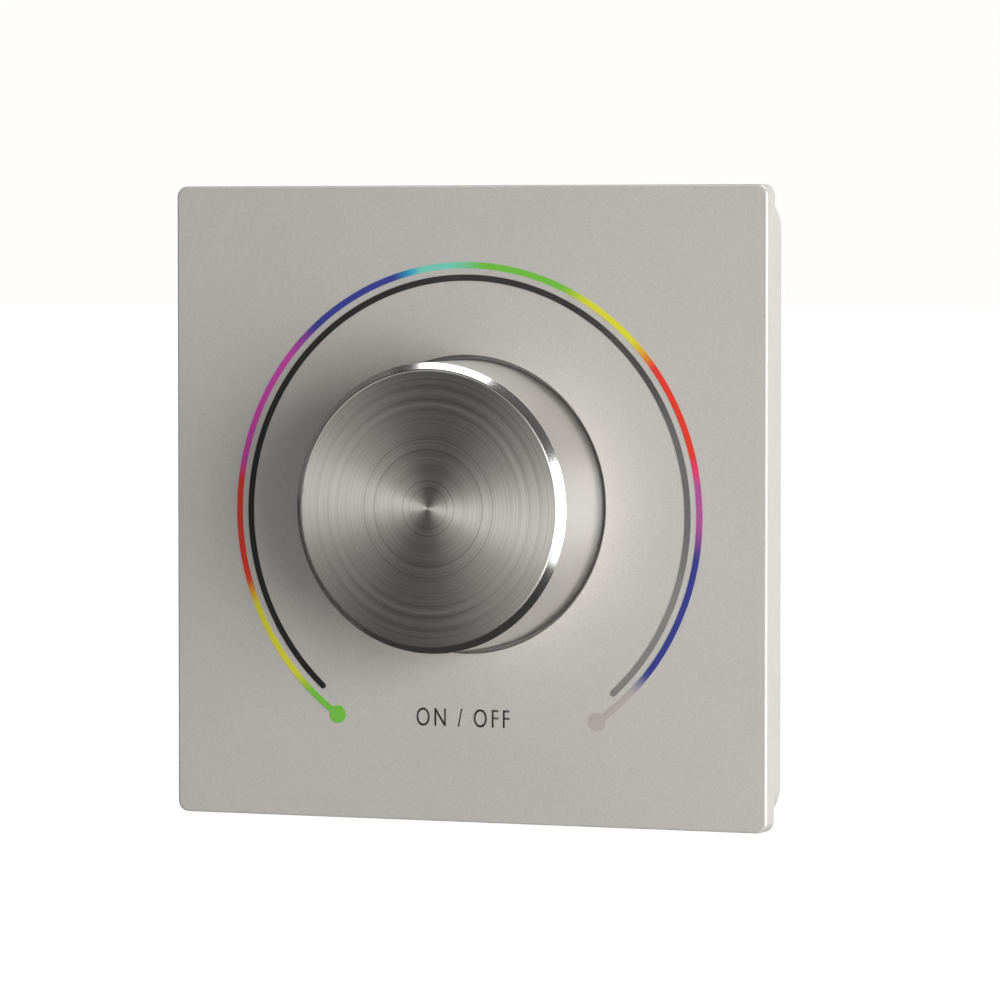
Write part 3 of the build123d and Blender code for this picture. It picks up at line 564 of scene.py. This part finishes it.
def flattenShade(piece):
    # large flat faces keep their own shade beside small rounded ones
    applied(piece, "WEIGHTED_NORMAL", keep_sharp=True, weight=60)


def mount(piece, body, slotName, *stoodFor):
    leaveEdit()
    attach(piece, body)
    if stoodFor:
        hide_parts(*stoodFor)


def fromAxis(point):
    return math.hypot(point.x, point.z)


# knob cap
capSettings = {
    "sides": 256, "draft": 0.13 * mm, "chamfer": 0.80 * mm, "sideEdge": 0.02 * mm, "footEdge": 0.2 * mm,
    "wall": 1.4 * mm, "face": 1.8 * mm, "smooth": 35,
    # from the chamfer inwards: a groove down and along, then up over a rounded lip
    "groove": [(0.06, -0.09), (0.06, 0.0)], "lip": [(0.05, 0.06), (0.06, 0.025), (0.07, 0.005)],
    # radius, width and depth of each turned groove, from the rim inwards
    "grooves": [(17.3, 0.09, 0.007), (16.1, 0.11, 0.013), (15.2, 0.11, 0.013), (14.6, 0.09, 0.010),
                (13.3, 0.09, 0.009), (9.25, 0.16, 0.033), (7.80, 0.16, 0.027), (5.1, 0.09, 0.010),
                (3.70, 0.13, 0.024), (3.2, 0.10, 0.014), (2.65, 0.11, 0.016), (2.1, 0.10, 0.012),
                (1.55, 0.08, 0.012), (1.0, 0.07, 0.010)],
    "centre": 0.12 * mm,
}


def makeKnobCap():
    look = capSettings
    capRadius = knobRadius - look["draft"]  # at the front; the side widens to the foot
    depth = knobHigh.y - knobLow.y
    deselect()
    bpy.ops.mesh.primitive_cone_add(vertices=look["sides"], depth=depth,
                                    radius1=knobRadius, radius2=capRadius,
                                    location=(0, (knobLow.y + knobHigh.y) / 2, 0), rotation=facingFront)
    cap = newest("knobCap")

    pickEdges(cap, lambda p: p.y < knobFront + tiny)
    breakEdges(look["chamfer"], 1)
    chamferIn = capRadius - look["chamfer"]
    chamferOut = knobFront + look["chamfer"]
    pickEdges(cap, lambda p: abs(p.y - chamferOut) < tiny and abs(fromAxis(p) - capRadius) < tiny)
    breakEdges(look["sideEdge"], 3)

    # edge groove and lip, then turned grooves: in to the groove's rim, down to its floor and up again
    pickFaces(cap, lambda c, n: n.y < -facing and fromAxis(c) < tiny)
    for inwards, rise in look["groove"] + look["lip"]:
        bpy.ops.mesh.inset(thickness=inwards * mm, depth=rise * mm)
    lipOut = chamferIn - sum(step[0] for step in look["groove"]) * mm
    faceStart = lipOut - sum(step[0] for step in look["lip"]) * mm
    reach = faceStart
    for radius, width, depthIn in look["grooves"]:
        rim = (radius + width / 2) * mm
        bpy.ops.mesh.inset(thickness=reach - rim, depth=0)
        bpy.ops.mesh.inset(thickness=width / 2 * mm, depth=-depthIn * mm)
        bpy.ops.mesh.inset(thickness=width / 2 * mm, depth=depthIn * mm)
        reach = rim - width * mm
    bpy.ops.mesh.inset(thickness=reach - look["centre"], depth=0)
    bpy.ops.mesh.merge(type="CENTER")

    # hollow from behind
    pickFaces(cap, lambda c, n: n.y > facing and c.y > knobHigh.y - tiny)
    bpy.ops.mesh.inset(thickness=look["wall"], depth=0)
    bpy.ops.mesh.extrude_region_move(TRANSFORM_OT_translate={"value": (0, -(depth - look["face"]), 0)})
    pickEdges(cap, lambda p: p.y > knobHigh.y - tiny and fromAxis(p) > knobRadius - tiny)
    breakEdges(look["footEdge"], 2)
    leaveEdit()

    finishes = {"face": spunFinish(), "chamfer": cutFinish(), "inside": blastFinish(),
                "lip": lipFinish(), "groove": grooveShadeFinish(), "side": sideFinish()}
    for finish in finishes.values():
        cap.data.materials.append(finish)
    slots = list(finishes)
    for face in cap.data.polygons:
        away = fromAxis(face.center)
        if face.center.y > chamferOut + tiny:
            outside = away > capRadius - look["sideEdge"] and abs(face.normal.y) < 0.5
            part = "side" if outside else "inside"
        elif away > chamferIn:
            part = "chamfer"
        # the groove between lip and chamfer takes the nearly black painted-shade finish
        elif away > lipOut:
            part = "groove"
        else:
            part = "lip" if away > faceStart else "face"
        face.material_index = slots.index(part)
    smooth(cap, look["smooth"])
    flattenShade(cap)
    mount(cap, "knob", "knob_metal", "knob_cap")
    print("knob cap:", len(cap.data.polygons), "faces")


# printed scales: thin films swept round the knob
scaleSettings = {
    "thickness": 0.06 * mm, "sink": 0.01 * mm, "steps": 300, "dotSides": 64, "merge": 0.0001 * mm,
    "colour": {"radius": 33.5 * mm, "width": 0.84 * mm, "from": -55.5, "to": 235.6, "dot": 1.2 * mm},
    "dim": {"radius": 31.82 * mm, "width": 0.84 * mm, "from": -48.1, "to": 228.4, "dot": 0.42 * mm},
}


def makeScale(name, look):
    low = plateFront - scaleSettings["thickness"]
    high = plateFront + scaleSettings["sink"]
    middle = (low + high) / 2
    deselect()
    bpy.ops.mesh.primitive_plane_add(size=1, location=(look["radius"], middle, 0))
    bpy.context.object.scale = (look["width"], high - low, 1)
    scale = newest(name)
    # sweep the cross-section, then turn the arc to where it starts
    bpy.ops.object.mode_set(mode="EDIT")
    bpy.ops.mesh.select_all(action="SELECT")
    sweep = math.radians(look["to"] - look["from"])
    bpy.ops.mesh.spin(steps=scaleSettings["steps"], angle=sweep, center=(0, 0, 0), axis=(0, 1, 0))
    bpy.ops.mesh.select_all(action="SELECT")
    bpy.ops.mesh.remove_doubles(threshold=scaleSettings["merge"])
    bpy.ops.mesh.normals_make_consistent(inside=False)
    leaveEdit()
    scale.rotation_euler = (0, -math.radians(look["from"]), 0)
    scale.location = (0, 0, scaleCentre)
    hold(scale)
    bpy.ops.object.transform_apply(location=True, rotation=True, scale=True)
    # round ends
    for end in (look["from"], look["to"]):
        angle = math.radians(end)
        spot = (look["radius"] * math.cos(angle), middle, scaleCentre + look["radius"] * math.sin(angle))
        deselect()
        bpy.ops.mesh.primitive_cylinder_add(vertices=scaleSettings["dotSides"], radius=look["dot"],
                                            depth=high - low, location=spot, rotation=facingFront)
        dot = newest(name + "End")
        applied(scale, "BOOLEAN", operation="UNION", solver="EXACT", object=dot)
        bpy.data.objects.remove(dot)
    return scale


def makeScales():
    colourScale = makeScale("colourScale", scaleSettings["colour"])
    colourScale.data.materials.append(scaleFinish("colourInks", runStops(colourRun, lambda c: inks[c])))
    mount(colourScale, "panel", "ink_green", "print_green", "print_yellow", "print_red", "print_magenta",
          "print_blue", "print_cyan", "print_white")
    dimScale = makeScale("dimScale", scaleSettings["dim"])
    dimScale.data.materials.append(scaleFinish("dimInks", runStops(dimRun, lambda level: grey(level, 0.04))))
    mount(dimScale, "panel", "ink_black", "print_black", "print_charcoal", "print_slate", "print_grey",
          "print_pale_grey")
    print("scales:", len(colourScale.data.polygons), "and", len(dimScale.data.polygons), "faces")


# generic switch legend under the knob
legendSettings = {
    "text": "ON / OFF", "capHeight": 2.45 * mm, "narrow": 0.74, "thin": -0.004, "spacing": 1.3,
    "height": 0.02 * mm, "middle": (-0.5 * mm, -29.0 * mm),
}


def makeLegend():
    look = legendSettings
    deselect()
    bpy.ops.object.text_add(location=(0, 0, 0))
    legend = bpy.context.object
    legend.name = "pressLegend"
    legend.data.body = look["text"]
    legend.data.align_x = "CENTER"
    legend.data.align_y = "CENTER"
    legend.data.space_character = look["spacing"]
    legend.data.offset = look["thin"]
    bpy.ops.object.convert(target="MESH")
    size = look["capHeight"] / legend.dimensions.y
    legend.scale = (size * look["narrow"], size, 1)
    legend.rotation_euler = facingFront
    legend.location = (look["middle"][0], plateFront - look["height"], look["middle"][1])
    bpy.ops.object.transform_apply(location=True, rotation=True, scale=True)
    applied(legend, "SOLIDIFY", thickness=2 * look["height"], offset=0.0)
    legend.data.materials.append(legendFinish())
    mount(legend, "panel", "ink_black")
    print("legend:", len(legend.data.polygons), "faces")


# grey ring that lies in the gap round the knob; its dark grey is painted shade, standing in for the shade
# down the gap
sealSettings = {
    "sides": 192, "outer": 0.02 * mm, "clear": 0.03 * mm, "down": 1.25 * mm, "thick": 0.8 * mm,
    "edge": 0.08 * mm, "smooth": 35,
}


def makeSeal():
    look = sealSettings
    outer = holeRadius - look["outer"]
    front = plateFront + look["down"]
    deselect()
    bpy.ops.mesh.primitive_cylinder_add(vertices=look["sides"], radius=outer, depth=look["thick"],
                                        location=(0, front + look["thick"] / 2, 0), rotation=facingFront)
    seal = newest("gapShadeRing")
    # both ends are inset to the bore, and bridged through it
    pickFaces(seal, lambda c, n: abs(n.y) > facing)
    bpy.ops.mesh.inset(thickness=outer - knobRadius - look["clear"], depth=0)
    bpy.ops.mesh.bridge_edge_loops()
    pickEdges(seal, lambda p: p.y < front + tiny)
    breakEdges(look["edge"], 2)
    leaveEdit()
    # painted shade: the ring's dark grey stands in for the shade in the gap
    seal.data.materials.append(mouldedFinish("gapShadeGrey", (0.28, 0.274, 0.262), 0.6, 0.2, 0.01))
    smooth(seal, look["smooth"])
    mount(seal, "panel", "frame_plastic")
    print("gap seal:", len(seal.data.polygons), "faces")


# merged copies of moulded nodes, with their edges broken as a mould breaks them
shellSettings = {
    "merge": 0.001 * mm, "flat": 0.5, "sharp": 35, "smooth": 32,  # angles in degrees
    # width of each piece's broken edges; the plate's are round already
    "edges": {"rearFrame": 0.12 * mm, "rearHousing": 0.15 * mm, "housingScrews": 0.12 * mm,
              "terminalBlock": 0.12 * mm, "terminalScrews": 0.08 * mm},
}


def softCopy(name, node, finish, slotName):
    look = shellSettings
    piece = bpy.data.objects.new(name, nodes[node].data.copy())
    bpy.context.scene.collection.objects.link(piece)
    piece.data.materials.clear()
    piece.data.materials.append(finish)
    hold(piece)
    bpy.ops.object.mode_set(mode="EDIT")
    bpy.ops.mesh.select_all(action="SELECT")
    bpy.ops.mesh.customdata_custom_splitnormals_clear()
    bpy.ops.mesh.remove_doubles(threshold=look["merge"])
    bpy.ops.mesh.dissolve_limited(angle_limit=math.radians(look["flat"]))
    leaveEdit()
    if name in look["edges"]:
        applied(piece, "BEVEL", width=look["edges"][name], segments=2, limit_method="ANGLE",
                angle_limit=math.radians(look["sharp"]), use_clamp_overlap=True)
    smooth(piece, look["smooth"])
    flattenShade(piece)
    mount(piece, "panel", slotName, node)
    print(name + ":", len(piece.data.polygons), "faces")
    return piece


def makeShells():
    plate = softCopy("frontPlate", "front_plate", paintFinish(), "plate_paint")
    plate.data.materials.append(rimHighlightFinish())
    # the outer part of the rounded rim takes the glossier finish, painted lighter as a highlight
    for face in plate.data.polygons:
        outside = fromAxis(face.center) > plateRimHighlight["reach"] * plateHigh.x
        if outside and plateRimHighlight["flat"] < face.normal.y < plateRimHighlight["steep"]:
            face.material_index = 1
    shellGrey = mouldedFinish("frameMoulding", (0.56, 0.543, 0.52), 0.5)
    softCopy("rearFrame", "rear_frame", shellGrey, "frame_plastic")
    black = mouldedFinish("housingMoulding", (0.045, 0.045, 0.047), 0.55, 0.35, 0.035, 0.12)
    softCopy("rearHousing", "rear_housing", black, "housing_plastic")
    steel = platedFinish("screwPlate", (0.62, 0.62, 0.63), 0.28)
    softCopy("housingScrews", "housing_screws", steel, "plated_steel")
    green = mouldedFinish("terminalMoulding", (0.035, 0.26, 0.085), 0.38, 0.4, 0.012, 0.08)
    softCopy("terminalBlock", "terminal_block", green, "terminal_plastic")
    softCopy("terminalScrews", "terminal_screws", steel, "plated_steel")


# nodes that keep their own mesh get a finish by the record's slot
def dressNodes():
    finishes = {
        "core_plastic": mouldedFinish("coreMoulding", (0.05, 0.05, 0.05), 0.5),
        "board_laminate": boardFinish(),
        "package_plastic": mouldedFinish("packageEpoxy", (0.022, 0.022, 0.024), 0.6, 0.12, 0.01, 0.15),
        "ferrite": mouldedFinish("ferriteBlock", (0.07, 0.07, 0.075), 0.75, 0.18, 0.03, 0.2),
        "can_sleeve": mouldedFinish("canSleeve", (0.02, 0.022, 0.045), 0.3, 0.6, 0.006, 0.1),
        "encoder_plastic": mouldedFinish("encoderMoulding", (0.035, 0.035, 0.035), 0.5),
        "plated_steel": platedFinish("nickelPlate", (0.62, 0.62, 0.63), 0.25),
        "contact_brass": platedFinish("contactBrass", (0.70, 0.52, 0.24), 0.3),
    }
    for row in frame["record"]["subparts"]:
        finish = finishes.get(row["material_slot"])
        node = nodes[row["node"]]
        if finish and not node.hide_render:
            node.data.materials.clear()
            node.data.materials.append(finish)
    print("inner pieces dressed")


# stage
cameraSettings = {
    "lens": 213.55, "sensor": 36, "near": 0.01, "distance": 0.798,
    "yaw": 22.08, "pitch": 2.453, "aim": (4.905 * mm, 0.688 * mm),
}


def direction(yaw, pitch):
    # towards a viewer this far to the right of the front, and this far up
    yaw, pitch = math.radians(yaw), math.radians(pitch)
    return Vector((math.sin(yaw) * math.cos(pitch), -math.cos(yaw) * math.cos(pitch), math.sin(pitch)))


def makeCamera():
    look = cameraSettings
    back = direction(look["yaw"], look["pitch"])
    target = Vector((look["aim"][0], plateFront, look["aim"][1]))
    bpy.ops.object.camera_add(location=target + back * look["distance"])
    camera = bpy.context.object
    camera.rotation_euler = (-back).to_track_quat("-Z", "Y").to_euler()
    camera.data.lens = look["lens"]
    camera.data.sensor_width = look["sensor"]
    camera.data.clip_start = look["near"]
    bpy.context.scene.camera = camera


lampSettings = {
    # place, width and height in metres, and brightness of its face
    "key": (direction(58, -3.6) * 0.9, 0.62, 0.78, 6.95),
    "top": (Vector((-0.16, -0.10, 0.9)), 0.57, 0.32, 3.5),
    "rear": (direction(140, 30), 0.7, 0.7, 0.95),
}


def makeLamps():
    for name, (spot, width, height, face) in lampSettings.items():
        bpy.ops.object.light_add(type="AREA", location=spot)
        lamp = bpy.context.object
        lamp.name = name + "Lamp"
        if name != "top":  # the top lamp hangs level, the others look at the knob
            lamp.rotation_euler = spot.to_track_quat("Z", "Y").to_euler()
        lamp.data.shape = "RECTANGLE"
        lamp.data.size = width
        lamp.data.size_y = height
        lamp.data.energy = face * math.pi * width * height


worldSettings = {
    "ambient": 0.215, "white": (1, 0.991, 0.974, 1),
    "floor": -0.30, "floorSize": 60, "paleness": 0.63, "floorRoughness": 0.9, "glow": 0.87,
}


def seenDirectly(wires):
    # 1 for camera, mirror and glass rays
    camera = wires.node("ShaderNodeLightPath", out="Is Camera Ray")
    rays = camera.socket.node.outputs
    glossy = Wire(wires.tree, rays["Is Glossy Ray"])
    through = Wire(wires.tree, rays["Is Transmission Ray"])
    return (camera + glossy + through).maths("MINIMUM", 1.0)


def makeWorld():
    look = worldSettings
    world = bpy.data.worlds.new("studio")
    bpy.context.scene.world = world
    world.use_nodes = True
    wires = Wire(world.node_tree)
    background = world.node_tree.nodes["Background"]
    wires.feed(background.inputs["Color"], seenDirectly(wires).tint(grey(look["ambient"]), look["white"]))

    deselect()
    bpy.ops.mesh.primitive_plane_add(size=look["floorSize"], location=(0, 0, look["floor"]))
    floor = newest("studioFloor")
    material, shader, place = newFinish("paleFloor", Base_Color=grey(look["paleness"]),
                                        Roughness=look["floorRoughness"], Emission_Strength=look["glow"])
    place.feed(shader.inputs["Emission Color"], seenDirectly(place).tint(grey(0.0), look["white"]))
    floor.data.materials.append(material)


# studio cards, there for mirrors alone
cardSettings = {
    # lowest and highest corner, and brightness
    "front": ((-2.2, -1.3, -0.9), (2.2, -1.3, 1.6), 0.008),
    "left": ((-1.0, -1.3, 0.0), (-1.0, 1.0, 1.6), 0.148),
    "leftStrip": ((-0.98, -0.42, 0.2), (-0.98, -0.1, 1.4), 0.85),
    "lowLeft": ((-1.0, -1.3, -0.9), (-1.0, 1.0, 0.0), 0.05),
    "ceiling": ((-1.2, -1.3, 1.25), (0.9, 1.0, 1.25), 0.06),
    "overhead": ((0.08, 0.0, 0.9), (0.8, 0.6, 0.9), 5.0),
    "below": ((-1.2, -1.3, -0.28), (0.43, 1.0, -0.28), 0.045),
}
slopedCards = {
    # yaw, pitch, distance, width, height and brightness
    "upperRight": (65, 51, 1.0, 1.6, 0.98, 0.11),
    "window": (22.6, -9.05, 0.55, 0.118, 0.261, 8.5),
    "sill": (12.6, -34.2, 0.365, 0.238, 0.158, 0.9),
    "lintel": (22.3, 22.25, 0.9, 0.459, 0.607, 0.9),
}


def hangCard(name, spot, turn, width, height, level):
    deselect()
    bpy.ops.mesh.primitive_plane_add(size=1, location=spot, rotation=turn)
    bpy.context.object.scale = (width, height, 1)
    card = newest(name + "Card")
    finish = newFinish(name + "Card", Base_Color=grey(0.0), Specular_IOR_Level=0.0,
                       Emission_Color=grey(1.0, 0.02), Emission_Strength=level)[0]
    card.data.materials.append(finish)
    card.visible_camera = False
    card.visible_diffuse = False
    card.visible_shadow = False
    card.visible_transmission = False


def makeCards():
    for name, (low, high, level) in cardSettings.items():
        low, high = Vector(low), Vector(high)
        size = high - low
        if size.z == 0:
            turn, width, height = (0, 0, 0), size.x, size.y
        elif size.y == 0:
            turn, width, height = facingFront, size.x, size.z
        else:
            turn, width, height = (math.radians(90), 0, math.radians(90)), size.y, size.z
        hangCard(name, (low + high) / 2, turn, width, height, level)
    for name, (yaw, pitch, distance, width, height, level) in slopedCards.items():
        away = direction(yaw, pitch)
        hangCard(name, away * distance, away.to_track_quat("Z", "Y").to_euler(), width, height, level)


makeCamera()
makeKnobCap()
makeScales()
makeLegend()
makeSeal()
makeShells()
dressNodes()
makeLamps()
makeWorld()
makeCards()
leaveEdit()
bpy.context.scene.view_settings.view_transform = "Standard"
print("stage set")
